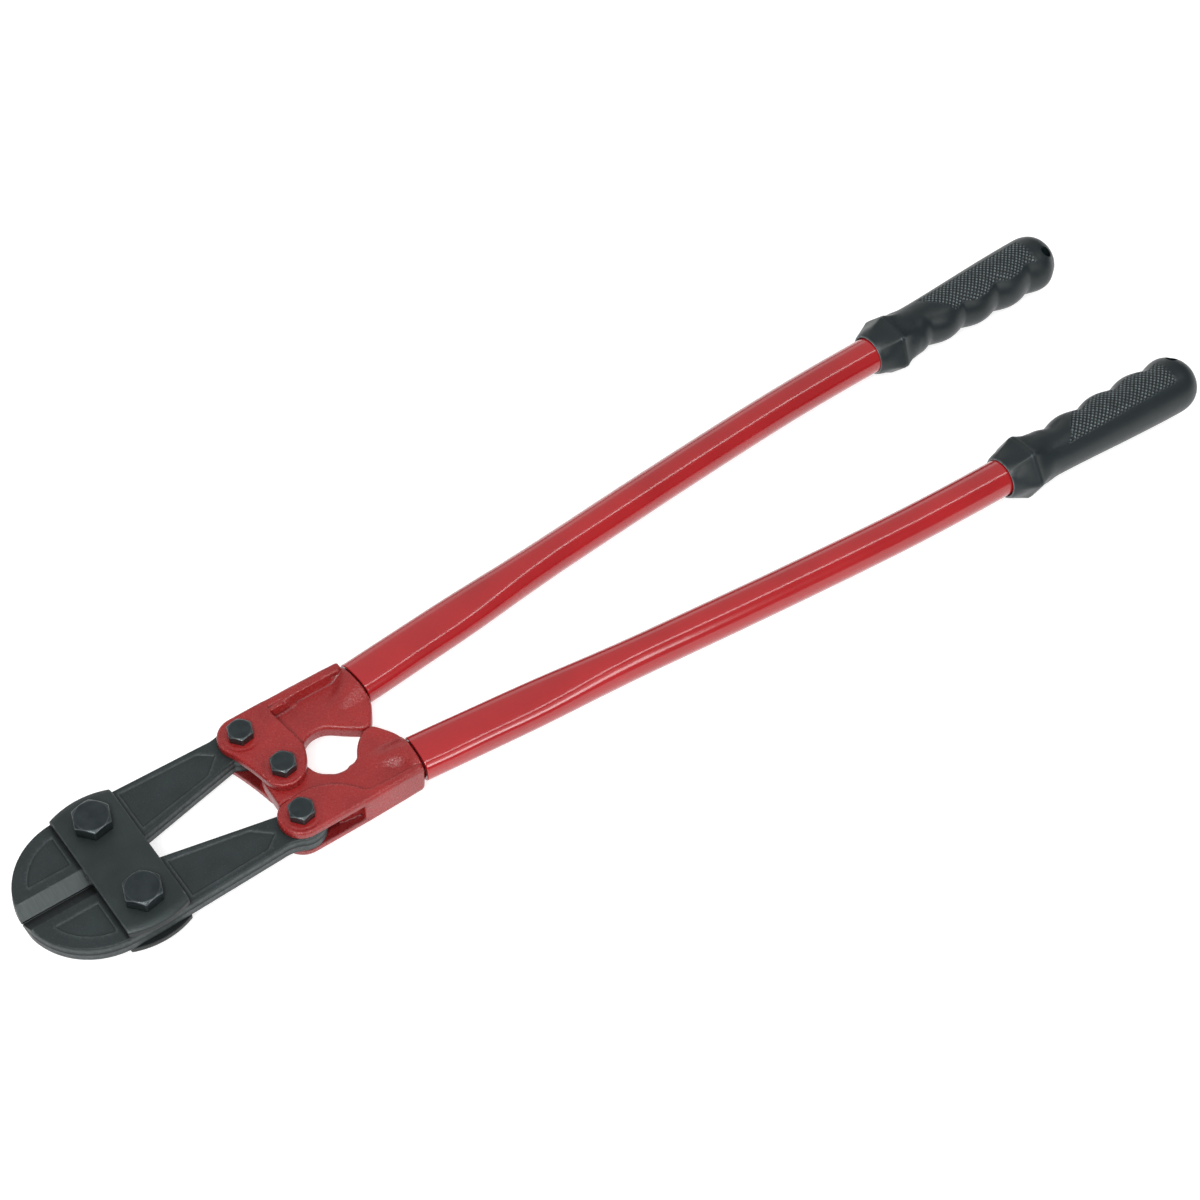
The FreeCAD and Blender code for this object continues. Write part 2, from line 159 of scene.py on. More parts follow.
def is_inside(points, loop):
    inside = np.zeros(len(points), bool)
    x, y = points[:, 0], points[:, 1]
    for (x0, y0), (x1, y1) in zip(loop, np.roll(loop, -1, axis=0)):
        crosses = (y0 > y) != (y1 > y)
        if y1 != y0:
            inside ^= crosses & (x < (x1 - x0) * (y - y0) / (y1 - y0) + x0)
    return inside


def signed_distance(points, loop):
    """Positive inside the loop."""
    return np.where(is_inside(points, loop), 1, -1) * distance_to(points, loop)


def slice_node(node, through, normal):
    """Closed loops where a plane cuts a CAD node, longest first, in the linkage frame."""
    bm = bmesh.new()
    bm.from_mesh(frame["nodes"][node].data)
    bmesh.ops.remove_doubles(bm, verts=bm.verts[:], dist=1e-7)
    cut = bmesh.ops.bisect_plane(bm, geom=bm.verts[:] + bm.edges[:] + bm.faces[:], dist=1e-8,
                                 plane_co=Vector(world(through)), plane_no=Vector(normal))
    bm.verts.index_update()
    follow = {}
    where = {}
    for item in cut["geom_cut"]:
        if isinstance(item, bmesh.types.BMEdge):
            a, b = item.verts
            follow.setdefault(a.index, set()).add(b.index)
            follow.setdefault(b.index, set()).add(a.index)
            where[a.index] = tuple(a.co)
            where[b.index] = tuple(b.co)
    bm.free()
    loops = []
    left = set(follow)
    while left:
        here = min(left)
        chain = [here]
        left.discard(here)
        while True:
            onward = [n for n in sorted(follow[chain[-1]]) if n in left]
            if not onward:
                break
            chain.append(onward[0])
            left.discard(onward[0])
        if len(chain) > 5:
            loops.append(local([where[i] for i in chain]))
    lengths = [np.sum(np.linalg.norm(np.roll(l, -1, axis=0) - l, axis=1)) for l in loops]
    return [loops[i] for i in np.argsort(lengths)[::-1]]


def plan_loops(node, z):
    """Counter-clockwise plan outlines of a node at a height."""
    found = []
    for loop in slice_node(node, (0, 0, z), (0, 0, 1)):
        flat = loop[:, :2]
        found.append(flat if signed_area(flat) > 0 else flat[::-1])
    return found


# ------------------------------------------------------------------ making objects


def add_wear_and_painted_light(mesh, raised=None):
    """Stores how convex (above 0) or hollow (below 0) the skin is: the materials make convex skin paler, as
    rubbed edges, and darken hollows as painted shade.
    """
    count = len(mesh.vertices)
    co = np.zeros(3 * count)
    mesh.vertices.foreach_get("co", co)
    normal = np.zeros(3 * count)
    mesh.vertices.foreach_get("normal", normal)
    pairs = np.zeros(2 * len(mesh.edges), int)
    mesh.edges.foreach_get("vertices", pairs)
    co, normal, pairs = co.reshape(-1, 3), normal.reshape(-1, 3), pairs.reshape(-1, 2)
    turn = np.einsum("ij,ij->i", normal[pairs[:, 1]] - normal[pairs[:, 0]], co[pairs[:, 1]] - co[pairs[:, 0]])
    length = np.linalg.norm(co[pairs[:, 1]] - co[pairs[:, 0]], axis=1) + 1e-9
    bend = turn / length ** 2 * MM
    total, weight = np.zeros(count), np.zeros(count)
    for k in (0, 1):
        np.add.at(total, pairs[:, k], bend * length)
        np.add.at(weight, pairs[:, k], length)
    curve = total / np.maximum(weight, 1e-9)
    # Convex skin above 0, read as rubbed edges; hollows below 0, darkened as painted shade.
    wear_and_painted_light = smooth((curve - 0.12) / 0.6) - smooth((-curve - 0.14) / 0.5)
    # Set values take the place of the measured ones; most of them are painted light and shade.
    if raised is not None:
        wear_and_painted_light = np.where(raised != 0, raised, wear_and_painted_light)
    layer = mesh.attributes.new("wear_and_painted_light", "FLOAT", "POINT")
    layer.data.foreach_set("value", wear_and_painted_light.astype(np.float32))


PLATE_SPACING = 0.7     # between points along a plate's outline
PLATE_PITCH = 2.2       # between points inside it


def face_outward(mesh):
    bm = bmesh.new()
    bm.from_mesh(mesh)
    bmesh.ops.recalc_face_normals(bm, faces=bm.faces[:])
    bm.to_mesh(mesh)
    bm.free()


def new_object(name, points, faces, body, materials, replaces, raised=None):
    """A visible piece. Its raised argument gives values, mostly painted light and shade, that take the place
    of the measured ones where not 0.
    """
    mesh = bpy.data.meshes.new(name)
    mesh.from_pydata([tuple(p) for p in world(points)], [], [tuple(f) for f in faces])
    mesh.validate()
    obj = bpy.data.objects.new(name, mesh)
    bpy.context.scene.collection.objects.link(obj)
    face_outward(mesh)
    for material in materials:
        mesh.materials.append(material)
    mesh.polygons.foreach_set("use_smooth", [True] * len(mesh.polygons))
    add_wear_and_painted_light(mesh, raised)
    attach(obj, body)
    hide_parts(*replaces)
    return obj


def ring_faces(first, second, count):
    """Quads between two closed rings of vertex numbers."""
    return [(first + i, first + (i + 1) % count, second + (i + 1) % count, second + i) for i in range(count)]


def grid_solid(rings):
    """A closed skin through rings of equal length, capped at both ends by a centre point."""
    count = len(rings[0])
    points = np.vstack(rings + [rings[0].mean(axis=0)[None], rings[-1].mean(axis=0)[None]])
    faces = []
    for r in range(len(rings) - 1):
        faces += ring_faces(r * count, (r + 1) * count, count)
    low, high = len(rings) * count, len(rings) * count + 1
    last = (len(rings) - 1) * count
    faces += [(low, (i + 1) % count, i) for i in range(count)]
    faces += [(high, last + i, last + (i + 1) % count) for i in range(count)]
    return points, faces


def ring_solid(rings):
    """A closed skin through rings that come back to the first one, as round a tube's wall."""
    count = len(rings[0])
    faces = []
    for r in range(len(rings)):
        faces += ring_faces(r * count, (r + 1) % len(rings) * count, count)
    return np.vstack(rings), faces


def plate_skin(outline, holes, extra, top, bottom, wall=()):
    """Closed skin of a forged or pressed plate: a plan outline with holes and a height for each face.

    top and bottom give z from (points, distance to the outline, distance to the nearest hole). extra
    lists more plan points, and wall lists (share of the height from top to bottom, outward step)."""
    outline = resample(outline, PLATE_SPACING)
    holes = [resample(h, PLATE_SPACING) for h in holes]
    loops = [outline] + [h[::-1] for h in holes]
    plan = list(loops)
    inward = inward_normals(outline)
    for step in (0.12, 0.3, 0.6, 1.0, 1.6):
        plan.append(outline + inward * step)
    for hole in holes:
        for step in (0.15, 0.4, 0.9):
            plan.append(hole - inward_normals(hole) * step)
    plan += list(extra)
    low, high = outline.min(axis=0), outline.max(axis=0)
    rows = []
    for j, y in enumerate(np.arange(low[1], high[1], PLATE_PITCH * 0.87)):
        xs = np.arange(low[0] + (j % 2) * PLATE_PITCH / 2, high[0], PLATE_PITCH)
        rows.append(np.column_stack([xs, np.full(len(xs), y)]))
    grid = np.vstack(rows)
    clear = signed_distance(grid, outline) > PLATE_PITCH
    for hole in holes:
        clear &= signed_distance(grid, hole) < -1.2
    plan.append(grid[clear])
    flat = np.vstack(plan)
    fixed = sum(len(l) for l in loops)
    keep = np.ones(len(flat), bool)
    free = flat[fixed:]
    ok = signed_distance(free, outline) > 0.05
    for hole in holes:
        ok &= signed_distance(free, hole) < -0.05
    keep[fixed:] = ok
    flat = flat[keep]
    edges = []
    start = 0
    for loop in loops:
        edges += [(start + i, start + (i + 1) % len(loop)) for i in range(len(loop))]
        start += len(loop)
    verts, _, triangles, sources, _, _ = delaunay_2d_cdt([Vector(p) for p in flat], edges, [], 0, 1e-5)
    spots = np.array([tuple(v) for v in verts])
    number = {}
    for i, source in enumerate(sources):
        for s in source:
            number[s] = i
    triangles = np.array(triangles)
    middles = spots[triangles].mean(axis=1)
    good = is_inside(middles, outline)
    for hole in holes:
        good &= ~is_inside(middles, hole)
    triangles = triangles[good]
    edge_distance = np.maximum(signed_distance(spots, outline), 0)
    hole_distance = np.full(len(spots), 1e3)
    for hole in holes:
        hole_distance = np.minimum(hole_distance, np.maximum(-signed_distance(spots, hole), 0))
    upper = top(spots, edge_distance, hole_distance)
    lower = bottom(spots, edge_distance, hole_distance)
    points = [np.column_stack([spots, upper]), np.column_stack([spots, lower])]
    faces = [tuple(t) for t in triangles] + [tuple(t[::-1] + len(spots)) for t in triangles]
    total = 2 * len(spots)
    start = 0
    for k, loop in enumerate(loops):
        ids = [number[start + i] for i in range(len(loop))]
        start += len(loop)
        count = len(ids)
        outward = -inward_normals(loop)
        steps = wall if k == 0 else []
        previous = ids
        for share, out in steps:
            z = upper[ids] + (lower[ids] - upper[ids]) * share
            ring = np.column_stack([loop + outward * out, z])
            points.append(ring)
            now = list(range(total, total + count))
            faces += [(previous[i], previous[(i + 1) % count], now[(i + 1) % count], now[i])
                      for i in range(count)]
            total += count
            previous = now
        last = [i + len(spots) for i in ids]
        faces += [(previous[i], previous[(i + 1) % count], last[(i + 1) % count], last[i])
                  for i in range(count)]
    return np.vstack(points), faces


def plate(name, skin, body, materials, replaces, shade, pick=None):
    """A plate as a piece: pick numbers the material of each face and shade gives values of points, mostly
    painted light and shade, over their measured ones.
    """
    points, faces = skin
    obj = new_object(name, points, faces, body, materials, replaces, shade(points))
    if pick is not None:
        mesh = obj.data
        middles = np.array([tuple(p.center) for p in mesh.polygons])
        mesh.polygons.foreach_set("material_index", pick(local(middles)).astype(int))
    return obj


# ------------------------------------------------------------------ materials


class Nodes:
    """Short way to build a node material."""

    def __init__(self, name):
        self.material = bpy.data.materials.new(name)
        self.material.use_nodes = True
        self.tree = self.material.node_tree
        self.shader = self.tree.nodes["Principled BSDF"]
        self.place = self.add("ShaderNodeTexCoord").outputs["Object"]

    def add(self, kind, **values):
        node = self.tree.nodes.new(kind)
        for key, value in values.items():
            setattr(node, key, value)
        return node

    def link(self, source, target):
        self.tree.links.new(source, target)

    def noise(self, scale, detail=3.0, roughness=0.5, stretch=None):
        node = self.add("ShaderNodeTexNoise")
        node.inputs["Scale"].default_value = scale
        node.inputs["Detail"].default_value = detail
        node.inputs["Roughness"].default_value = roughness
        self.link(self.stretched(stretch), node.inputs["Vector"])
        return node.outputs["Fac"]

    def stretched(self, stretch):
        if stretch is None:
            return self.place
        mapping = self.add("ShaderNodeMapping")
        mapping.inputs["Scale"].default_value = stretch
        self.link(self.place, mapping.inputs["Vector"])
        return mapping.outputs["Vector"]

    def ramp(self, fac, *stops):
        node = self.add("ShaderNodeValToRGB")
        ramp = node.color_ramp
        while len(ramp.elements) < len(stops):
            ramp.elements.new(0.5)
        for element, (position, value) in zip(ramp.elements, stops):
            element.position = position
            element.color = (*value, 1)
        self.link(fac, node.inputs["Fac"])
        return node.outputs["Color"]

    def span(self, fac, low, high, from_low=0.0, from_high=1.0):
        node = self.add("ShaderNodeMapRange")
        node.inputs["From Min"].default_value = from_low
        node.inputs["From Max"].default_value = from_high
        node.inputs["To Min"].default_value = low
        node.inputs["To Max"].default_value = high
        self.link(fac, node.inputs["Value"])
        return node.outputs["Result"]

    def mix(self, fac, a, b):
        node = self.add("ShaderNodeMix", data_type="RGBA", blend_type="MIX")
        self.feed(fac, node.inputs[0])
        self.feed(a, node.inputs[6])
        self.feed(b, node.inputs[7])
        return node.outputs[2]

    def feed(self, value, socket):
        if isinstance(value, bpy.types.NodeSocket):
            self.link(value, socket)
        elif isinstance(value, tuple):
            socket.default_value = (*value, 1)
        else:
            socket.default_value = value

    def maths(self, operation, a, b=0.0):
        node = self.add("ShaderNodeMath", operation=operation)
        self.feed(a, node.inputs[0])
        self.feed(b, node.inputs[1])
        return node.outputs[0]

    def wear_and_light(self, amount):
        """The stored rubbed edges and painted light of the skin, above 0, broken up by noise."""
        wear_and_light = self.add("ShaderNodeAttribute", attribute_name="wear_and_painted_light").outputs["Fac"]
        patchy = self.span(self.noise(420, 3), 0.35 * amount, 1.3 * amount, 0.3, 0.7)
        return self.maths("MULTIPLY", self.maths("MAXIMUM", wear_and_light, 0.0), patchy)

    def hollow(self, amount):
        """The stored hollows and set dark places of the skin: painted shade, and the jaws' dark parting line.
        """
        wear_and_light = self.add("ShaderNodeAttribute", attribute_name="wear_and_painted_light").outputs["Fac"]
        return self.maths("MULTIPLY", self.maths("MAXIMUM", self.maths("MULTIPLY", wear_and_light, -1.0), 0.0), amount)

    def bump(self, height, distance, strength=1.0, under=None):
        node = self.add("ShaderNodeBump")
        node.inputs["Strength"].default_value = strength
        node.inputs["Distance"].default_value = distance
        self.link(height, node.inputs["Height"])
        if under is not None:
            self.link(under, node.inputs["Normal"])
        return node.outputs["Normal"]

    def finish(self, **sockets):
        for name, value in sockets.items():
            self.feed(value, self.shader.inputs[name.replace("_", " ")])
        return self.material


def glossy_red():
    """Enamelled tube: deep red, faint orange peel, slow changes of tone."""
    n = Nodes("tube_enamel")
    colour = n.ramp(n.noise(28, 4), (0.3, (0.325, 0.0085, 0.0110)), (0.7, (0.380, 0.0110, 0.0135)))
    rough = n.span(n.noise(90, 4), 0.15, 0.21)
    peel = n.bump(n.noise(300, 2), 0.00003)
    return n.finish(Base_Color=colour, Roughness=rough, Normal=peel, Coat_Weight=0.4, Coat_Roughness=0.07)


def cast_red():
    """Painted drop forging: satin red over a grainy skin, with pale specks painted on as glints, most on the
    edges, and painted shade in its hollows.
    """
    n = Nodes("head_paint")
    colour = n.ramp(n.noise(45, 5), (0.3, (0.225, 0.0085, 0.0085)), (0.7, (0.300, 0.0130, 0.0120)))
    grain = n.noise(800, 4, 0.6)
    # Pale specks painted on as glints: a few everywhere, more on convex edges.
    speck = n.ramp(n.noise(1300, 2, 0.5), (0.56, (0, 0, 0)), (0.68, (1, 1, 1)))
    glint = n.maths("MULTIPLY", speck, n.maths("ADD", n.wear_and_light(0.85), 0.09))
    colour = n.mix(glint, colour, (0.78, 0.27, 0.25))
    # Painted shade in the hollows and set dark places.
    colour = n.mix(n.hollow(0.75), colour, (0.045, 0.004, 0.005))
    rough = n.span(grain, 0.23, 0.38, 0.3, 0.7)
    skin = n.bump(grain, 0.00034, 0.9)
    skin = n.bump(n.noise(150, 3), 0.0004, 0.35, skin)
    return n.finish(Base_Color=colour, Roughness=rough, Normal=skin, Specular_IOR_Level=0.55)


def dark_steel(name, tone, grain_scale, speck_amount, rough_low, rough_high):
    """Phosphated steel: near black with fine light specks, paler on rubbed edges and where light is painted
    on, darker where shade is painted on.
    """
    n = Nodes(name)
    dark = tuple(0.78 * t for t in tone)
    light = tuple(1.22 * t for t in tone)
    colour = n.ramp(n.noise(60, 5), (0.3, dark), (0.7, light))
    grain = n.noise(grain_scale, 4, 0.6)
    speck = n.ramp(n.noise(2.1 * grain_scale, 2), (0.60, (0, 0, 0)), (0.75, (1, 1, 1)))
    colour = n.mix(n.maths("MULTIPLY", speck, speck_amount), colour, (0.20, 0.22, 0.23))
    # Paler on rubbed edges and where light is painted on; darker where shade is painted on.
    colour = n.mix(n.wear_and_light(0.40), colour, (0.30, 0.33, 0.34))
    colour = n.mix(n.hollow(0.9), colour, (0.004, 0.005, 0.005))
    rough = n.span(grain, rough_low, rough_high, 0.3, 0.7)
    skin = n.bump(grain, 0.00016, 0.7)
    return n.finish(Base_Color=colour, Roughness=rough, Normal=skin, Metallic=0.3)


def ground_steel():
    """Ground cutting bevel: faint grinding lines across the edge."""
    n = Nodes("ground_bevel")
    lines = n.noise(140, 3, 0.6, (14.0, 0.7, 0.7))
    colour = n.ramp(lines, (0.3, (0.050, 0.057, 0.057)), (0.7, (0.064, 0.072, 0.072)))
    rough = n.span(lines, 0.34, 0.44)
    return n.finish(Base_Color=colour, Roughness=rough, Normal=n.bump(lines, 0.00003), Metallic=1.0)


def oxide():
    """Black oxide fasteners: bluish black, satin, edges rubbed bright."""
    n = Nodes("black_oxide")
    colour = n.ramp(n.noise(150, 4), (0.3, (0.016, 0.024, 0.026)), (0.7, (0.030, 0.040, 0.043)))
    colour = n.mix(n.wear_and_light(0.30), colour, (0.42, 0.46, 0.46))
    rough = n.span(n.noise(500, 3), 0.28, 0.42)
    return n.finish(Base_Color=colour, Roughness=rough, Normal=n.bump(n.noise(900, 3), 0.00006),
                    Metallic=0.5)


def rubber():
    """Moulded grip rubber: blue-grey black, matt, fine pitting, paler on edges and, as a painted highlight,
    on the knurl's tips, darker where shade is painted on.
    """
    n = Nodes("grip_rubber")
    colour = n.ramp(n.noise(35, 4), (0.3, (0.0038, 0.0092, 0.0107)), (0.7, (0.0068, 0.0137, 0.0156)))
    # Paler on edges and on the knurl's tips, a painted highlight; darker in painted shade.
    colour = n.mix(n.wear_and_light(0.80), colour, (0.18, 0.23, 0.24))
    colour = n.mix(n.hollow(0.85), colour, (0.0015, 0.0025, 0.003))
    rough = n.span(n.noise(300, 3), 0.36, 0.48)
    return n.finish(Base_Color=colour, Roughness=rough, Normal=n.bump(n.noise(1400, 2), 0.00006),
                    Specular_IOR_Level=0.45)


TUBE_RED = glossy_red()
HEAD_RED = cast_red()
JAW_STEEL = dark_steel("jaw_steel", (0.0185, 0.0265, 0.0268), 650, 0.14, 0.44, 0.60)
STRAP_STEEL = dark_steel("strap_steel", (0.0195, 0.0275, 0.0275), 1100, 0.06, 0.42, 0.54)
BEVEL_STEEL = ground_steel()
OXIDE = oxide()
RUBBER = rubber()

# ------------------------------------------------------------------ jaws


def make_jaw(node):
    """A jaw: round nose with its ground bevel, sunken panels and a parting line round the wall."""
    sign = 1 if centre_of(node).y > ORIGIN[1] else -1
    loops = plan_loops(node, 0.0)
    outline, holes = loops[0], loops[1:]
    near_top = plan_loops(node, JAW_HALF - 0.3)
    hole_middles = [h.mean(axis=0) for h in holes]
    panels = [p for p in near_top[1:] if min(np.linalg.norm(p.mean(axis=0) - m) for m in hole_middles) > 4]
    bevel_y, bevel_end, edge_half, panel_depth = 8.5, -7.0, 0.5, 0.45
    draft = 0.35
    outline = resample(outline, 0.7)
    outline = outline + inward_normals(outline) * draft

    extra = []
    for panel in panels:
        panel = resample(panel, 0.8)
        inward = inward_normals(panel)
        extra += [panel + inward * step for step in (-0.8, -0.4, -0.2, 0.0, 0.2, 0.4, 0.9)]
    xs = np.arange(TIP_X, bevel_end + 1.0, 0.9)
    for y in (0.6, 2.5, 5.0, 7.2, 8.1, 8.4, 8.6, 8.9, 9.6):
        extra.append(np.column_stack([xs, np.full(len(xs), sign * y)]))
    ys = np.arange(0.3, 9.5, 0.6)
    for x in (bevel_end - 0.5, bevel_end - 0.1, bevel_end + 0.1, bevel_end + 0.5):
        extra.append(np.column_stack([np.full(len(ys), x), sign * ys]))

    def height(spots, edge, hole):
        z = JAW_HALF - rounding(edge, 0.7) - rounding(hole, 0.3)
        for panel in panels:
            inside = signed_distance(spots, panel)
            z = z - panel_depth * smooth((inside + 0.4) / 0.8) + 0.12 * np.exp(-((inside + 0.6) / 0.3) ** 2)
        y = np.abs(spots[:, 1])
        ground = edge_half + (JAW_HALF - edge_half) * y / bevel_y
        ground = ground + (JAW_HALF + 5) * smooth((spots[:, 0] - bevel_end + 0.5) / 1.0)
        return soft_min(z, ground, 0.12)

    def is_ground(middles):
        x, y, z = middles.T
        top = edge_half + (JAW_HALF - edge_half) * np.abs(y) / bevel_y
        return (x < bevel_end) & (np.abs(y) < bevel_y + 0.05) & (np.abs(z) < top + 0.15) & (np.abs(y) > 0.3)

    strap_x = local_box("top_strap")[1][0]
    ys = np.arange(0.5, 45, 1.1)
    for x in (strap_x - 0.5, strap_x, strap_x + 0.5, strap_x + 1.0, strap_x + 1.6):
        extra.append(np.column_stack([np.full(len(ys), x), sign * ys]))
        extra.append(np.column_stack([np.full(len(ys), -x), sign * ys]))

    def shade(points):
        """Paler lines on the rims round the sunken panels, painted shade at their feet and a painted shadow
        along the straps' edges; the side walls painted lighter, as lit, with a dark parting line.
        """
        flat = points[:, :2]
        face = np.abs(points[:, 2]) > JAW_HALF - 1.2
        tone = np.zeros(len(points))
        for panel in panels:
            inside = signed_distance(flat, panel)
            # A paler line on each panel's rim.
            tone += 0.36 * np.exp(-((inside + 0.55) / 0.28) ** 2)
            # Painted shade at the foot of each panel's wall.
            tone -= 0.5 * np.exp(-((inside - 0.45) / 0.35) ** 2)
        # Painted shadow of the straps on the jaw's face, along their edges.
        tone -= 0.95 * np.exp(-((np.abs(flat[:, 0]) - strap_x - 0.35) / 0.75) ** 2)
        height = np.abs(points[:, 2])
        # Side walls set paler as painted light; the parting line set dark.
        return np.where(face, tone, np.where(height < 0.45, -0.5, 0.34 * smooth((height - 0.5) / 0.6)))

    wall = [(0.03, 0.05), (0.2, 0.10), (0.42, 0.16), (0.46, draft), (0.54, draft), (0.58, 0.16), (0.8, 0.10),
            (0.97, 0.05)]
    skin = plate_skin(outline, holes, extra, height, lambda *a: -height(*a), wall)
    plate(node + "_forging", skin, node, [JAW_STEEL, BEVEL_STEEL], [node], shade, is_ground)


# ------------------------------------------------------------------ straps


def make_strap(node):
    low, high = local_box(node)
    upper = high[2] > 0
    middle = (low[2] + high[2]) / 2
    loops = plan_loops(node, middle)
    outline, holes = loops[0], loops[1:]
    outer, inner = (high[2], low[2]) if upper else (low[2], high[2])
    way = 1 if upper else -1
    end_r = high[1]
    ends = []
    for radius in (end_r - 1.0, end_r - 1.8, end_r - 2.6, end_r - 3.4, end_r - 4.2, end_r - 5.0):
        reach = math.asin(min(1.0, high[0] / radius))
        turn = np.linspace(math.pi / 2 - reach, math.pi / 2 + reach, 46)
        arc = radius * np.column_stack([np.cos(turn), np.sin(turn)])
        ends += [arc, arc * [1, -1]]

    def outer_face(spots, edge, hole):
        end = end_r - np.linalg.norm(spots, axis=1)
        drop = 1.5 * np.clip(1 - end / 4.6, 0, 1) ** 2
        return outer - way * (rounding(edge, 0.6) + drop + rounding(hole, 0.3))

    def inner_face(spots, edge, hole):
        return inner + way * rounding(edge, 0.3)

    def shade(points):
        """Sheared side walls, painted darker towards the jaws as shade."""
        return -0.85 * smooth((np.abs(outer) - 1.2 - np.abs(points[:, 2])) / 1.6)

    top, bottom = (outer_face, inner_face) if upper else (inner_face, outer_face)
    wall = [(0.06, 0.0), (0.3, 0.0), (0.6, 0.0), (0.94, 0.0)]
    skin = plate_skin(outline, holes, ends, top, bottom, wall)
    plate(node + "_plate", skin, "front_strap", [STRAP_STEEL], [node], shade)


# ------------------------------------------------------------------ fasteners


HEX_TURN = 10.0         # degrees that the hex heads and nuts are turned
M12_R = 6.0
M8_R = 4.0
NUT_GAP = 0.1


def shank_radius(is_large):
    return M12_R if is_large else M8_R


def hex_flat(node):
    """Radius to the flats of a hexagon, from its box across Y."""
    low, high = local_box(node)
    widest = max(abs(math.sin(math.radians(HEX_TURN + 60 * k))) for k in range(6))
    return (high[1] - low[1]) / 2 / widest * math.cos(math.pi / 6)


def circle_at(centre, turns, r, z):
    """A level ring of points about a centre; r and z are one number or one for each turn."""
    return np.column_stack([centre[0] + r * np.cos(turns), centre[1] + r * np.sin(turns),
                            np.broadcast_to(z, turns.shape)])


def hexagon(turns, flat_r, softness=60.0):
    """Radius of a hexagon with slightly rounded corners, at each angle."""
    sides = np.array([np.cos(turns - math.radians(HEX_TURN + 30 + 60 * k)) for k in range(6)])
    reach = np.sum(np.exp(softness * sides), axis=0)
    return flat_r / (np.log(reach) / softness)


def hex_skin(centre, flat_r, low, high, chamfer_low):
    """Rings of a hexagonal head from its top middle to its bottom middle, with lathe-cut chamfers."""
    turns = np.linspace(0, 2 * math.pi, 180, endpoint=False)
    shape = hexagon(turns, flat_r)
    ring_r = 0.95 * flat_r
    tilt = math.tan(math.radians(30))
    drop = (shape - ring_r) * tilt
    rings = []

    def add(r, z):
        rings.append(circle_at(centre, turns, r, z))

    for share in (0.4, 0.8, 0.955, 0.985):
        add(ring_r * share, high - (0.04 if share > 0.98 else 0.0))
    for share in (0.05, 0.5, 0.93):
        add(ring_r + (shape - ring_r) * share, high - 0.08 - drop * share)
    add(shape - 0.03, high - 0.08 - drop - 0.1)
    add(shape, high - 0.08 - drop - 0.3)
    if chamfer_low:
        add(shape, low + 0.08 + drop + 0.3)
        add(shape - 0.03, low + 0.08 + drop + 0.1)
        for share in (0.93, 0.5, 0.05):
            add(ring_r + (shape - ring_r) * share, low + 0.08 + drop * share)
        for share in (0.985, 0.955, 0.8):
            add(ring_r * share, low + (0.04 if share > 0.98 else 0.0))
    else:
        add(shape, low + 0.15)
        add(shape - 0.15, low)
        add(shape * 0.7, low)
    return rings, turns


def make_bolt(node, body):
    """Hex bolt. The thread, which the CAD leaves out, starts 0.5 mm inside the lower plate's face."""
    low, high = local_box(node)
    centre = local(centre_of(node))[:2]
    flat_r = hex_flat(node)
    shank_r = shank_radius(flat_r > 8)
    rings, turns = hex_skin(centre, flat_r, PLATE_TOP, high[2], False)
    rings = rings[:-1]

    def add(r, z):
        rings.append(circle_at(centre, turns, r, z))

    add(shank_r + 0.4, PLATE_TOP)
    add(shank_r, PLATE_TOP - 0.4)
    seat = -PLATE_TOP + 1.0
    add(shank_r, seat)
    pitch = 1.75 if shank_r > 5 else 1.25
    depth = 0.5 * pitch
    z = seat - 0.5
    while z - pitch > low[2] + 1.2:
        add(shank_r, z)
        add(shank_r, z - 0.2 * pitch)
        add(shank_r - depth, z - 0.5 * pitch)
        add(shank_r, z - 0.8 * pitch)
        z -= pitch
    add(shank_r - 0.1, low[2] + 0.9)
    add(shank_r - 1.0, low[2] + 0.1)
    add(shank_r - 1.3, low[2])
    add(shank_r * 0.4, low[2] + 0.15)
    points, faces = grid_solid(rings)
    new_object(node + "_turned", points, faces, body, [OXIDE], [node])


def make_nut(node, body):
    low, high = local_box(node)
    centre = local(centre_of(node))[:2]
    flat_r = hex_flat(node)
    bore = shank_radius(flat_r > 8) + NUT_GAP
    rings, turns = hex_skin(centre, flat_r, low[2], high[2], True)
    rings = [r for r in rings if np.linalg.norm(r[0, :2] - centre) > bore + 1.2]

    for r, z in ((bore + 0.8, low[2]), (bore, low[2] + 0.8), (bore, high[2] - 0.8), (bore + 0.8, high[2])):
        rings.append(circle_at(centre, turns, r, z))
    points, faces = ring_solid(rings)
    new_object(node + "_turned", points, faces, body, [OXIDE], [node])


def make_washer(node, body):
    """External-tooth lock washer, its teeth twisted."""
    low, high = local_box(node)
    centre = local(centre_of(node))[:2]
    outer = (high[0] - low[0]) / 2
    bore = shank_radius(outer > 9) + NUT_GAP
    turns = np.linspace(0, 2 * math.pi, 240, endpoint=False)
    wave = np.cos(10 * turns)
    tooth = smooth(0.5 - 1.4 * wave)
    twist = 0.35 * np.sin(10 * turns)
    middle, half = (low[2] + high[2]) / 2, (high[2] - low[2]) / 2 * 0.72
    body_r = bore + 0.55 * (outer - bore)
    tip_r = body_r + (outer - body_r) * (0.12 + 0.88 * tooth)
    rings = []
    for r, t, side in ((bore, 0, 1), (body_r, 0, 1), (tip_r - 0.12, 1, 1), (tip_r, 1, 0.6), (tip_r, 1, -0.6),
                       (tip_r - 0.12, 1, -1), (body_r, 0, -1), (bore, 0, -1)):
        z = np.clip(middle + side * half + t * twist * half, low[2], high[2])
        rings.append(circle_at(centre, turns, r, z))
    points, faces = ring_solid(rings)
    new_object(node + "_toothed", points, faces, body, [OXIDE], [node])


# ------------------------------------------------------------------ forged heads

